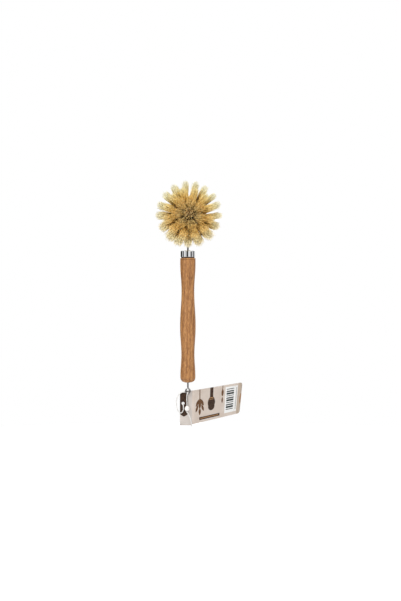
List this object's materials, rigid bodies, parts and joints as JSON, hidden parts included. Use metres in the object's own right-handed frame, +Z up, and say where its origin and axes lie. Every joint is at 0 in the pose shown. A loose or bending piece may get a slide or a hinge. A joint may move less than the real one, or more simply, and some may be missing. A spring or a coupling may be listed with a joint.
{
  "type": "kitchen brush",
  "caption": "Dish brush with a turned wooden handle, a ferrule, a round plant-fibre head that swivels in a wire bail, a hanging eye and a folded card tag on a thread.",
  "frame": {"origin": "on the handle's axis at its middle swell, where a hand holds it", "axes": "+Z up the handle to the head, -Y the way the bristles face, +X to the right as seen from the bristle side"},
  "size_m": [0.1013, 0.0919, 0.2815],
  "materials": {
    "wood": "oiled turned hardwood",
    "plated_steel": "bright plating",
    "spring_wire": "drawn wire",
    "plant_fibre": "dry plant fibre",
    "printed_card": "coated printed card",
    "thread": "twisted thread",
    "plastic": "moulded plastic"
  },
  "bodies": {
    "grip": {"handle": "wood", "ferrule": "plated_steel", "head_bail": "spring_wire", "screw_eye": "spring_wire"},
    "head": {"head_block": "wood", "tuft_centre": "plant_fibre", "tuft_inner_01": "plant_fibre", "tuft_inner_02": "plant_fibre", "tuft_inner_03": "plant_fibre", "tuft_inner_04": "plant_fibre", "tuft_inner_05": "plant_fibre", "tuft_inner_06": "plant_fibre", "tuft_inner_07": "plant_fibre", "tuft_middle_01": "plant_fibre", "tuft_middle_02": "plant_fibre", "tuft_middle_03": "plant_fibre", "tuft_middle_04": "plant_fibre", "tuft_middle_05": "plant_fibre", "tuft_middle_06": "plant_fibre", "tuft_middle_07": "plant_fibre", "tuft_middle_08": "plant_fibre", "tuft_middle_09": "plant_fibre", "tuft_middle_10": "plant_fibre", "tuft_middle_11": "plant_fibre", "tuft_middle_12": "plant_fibre", "tuft_outer_01": "plant_fibre", "tuft_outer_02": "plant_fibre", "tuft_outer_03": "plant_fibre", "tuft_outer_04": "plant_fibre", "tuft_outer_05": "plant_fibre", "tuft_outer_06": "plant_fibre", "tuft_outer_07": "plant_fibre", "tuft_outer_08": "plant_fibre", "tuft_outer_09": "plant_fibre", "tuft_outer_10": "plant_fibre", "tuft_outer_11": "plant_fibre", "tuft_outer_12": "plant_fibre", "tuft_outer_13": "plant_fibre", "tuft_outer_14": "plant_fibre", "tuft_outer_15": "plant_fibre", "tuft_outer_16": "plant_fibre", "tuft_outer_17": "plant_fibre"},
    "tag": {"swing_tag": "printed_card", "tag_string": "thread", "string_lock": "plastic"}
  },
  "joints": [
    {"name": "head_tilt", "type": "hinge", "parent": "grip", "child": "head", "pos_m": [0.0015, 0, 0.1275], "axis": [-1, 0, 0], "range_deg": [-8, 188]},
    {"name": "tag_swing", "type": "hinge", "parent": "grip", "child": "tag", "pos_m": [0, 0, -0.07545], "axis": [0, -1, 0], "range_deg": [-60, 40]}
  ]
}
